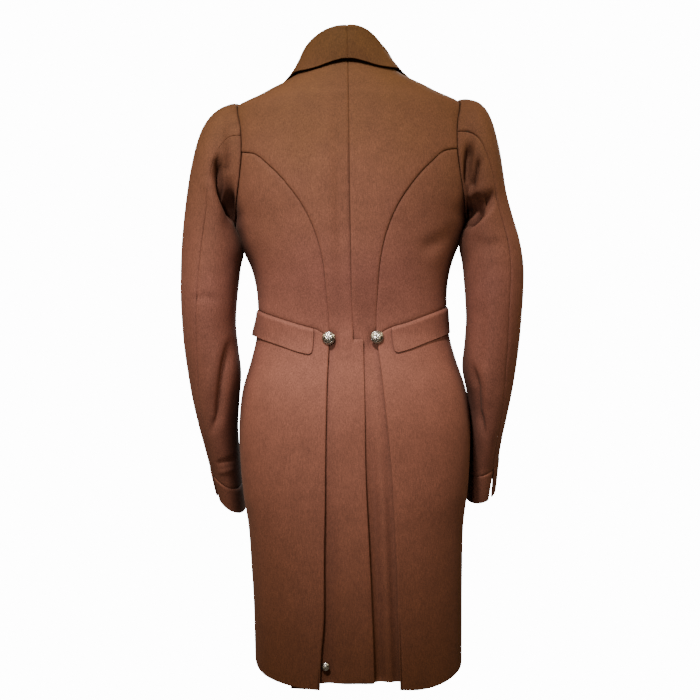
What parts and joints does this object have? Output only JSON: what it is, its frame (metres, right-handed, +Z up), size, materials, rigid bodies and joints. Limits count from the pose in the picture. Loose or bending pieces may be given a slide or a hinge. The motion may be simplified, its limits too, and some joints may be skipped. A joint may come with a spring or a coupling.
{
  "type": "tailcoat",
  "caption": "Brown wool historic tailcoat with gathered sleeve heads, curved side back seams, pleated tails, pocket flaps and domed buttons, in its worn hollow form",
  "frame": {"origin": "middle of the neck, level with the neck seam at the centre back", "axes": "+Z up the standing coat, +X to the wearer's left, -Y to the wearer's front"},
  "size_m": [0.5678, 0.2583, 1.0778],
  "materials": {
    "wool": "matte",
    "pewter": "satin"
  },
  "bodies": {
    "root": {"back_left": "wool", "back_right": "wool", "front_left": "wool", "front_right": "wool", "skirt_left": "wool", "skirt_right": "wool", "flap_left": "wool", "flap_right": "wool", "lapel_left": "wool", "lapel_right": "wool", "collar_left": "wool", "collar_right": "wool", "sleeve_top_left": "wool", "sleeve_top_right": "wool", "sleeve_under_left": "wool", "sleeve_under_right": "wool", "cuff_left": "wool", "cuff_right": "wool", "hip_button_left": "pewter", "hip_button_right": "pewter", "pleat_button_left": "pewter", "front_button_1": "pewter", "front_button_2": "pewter", "front_button_3": "pewter", "front_button_4": "pewter"}
  },
  "joints": []
}
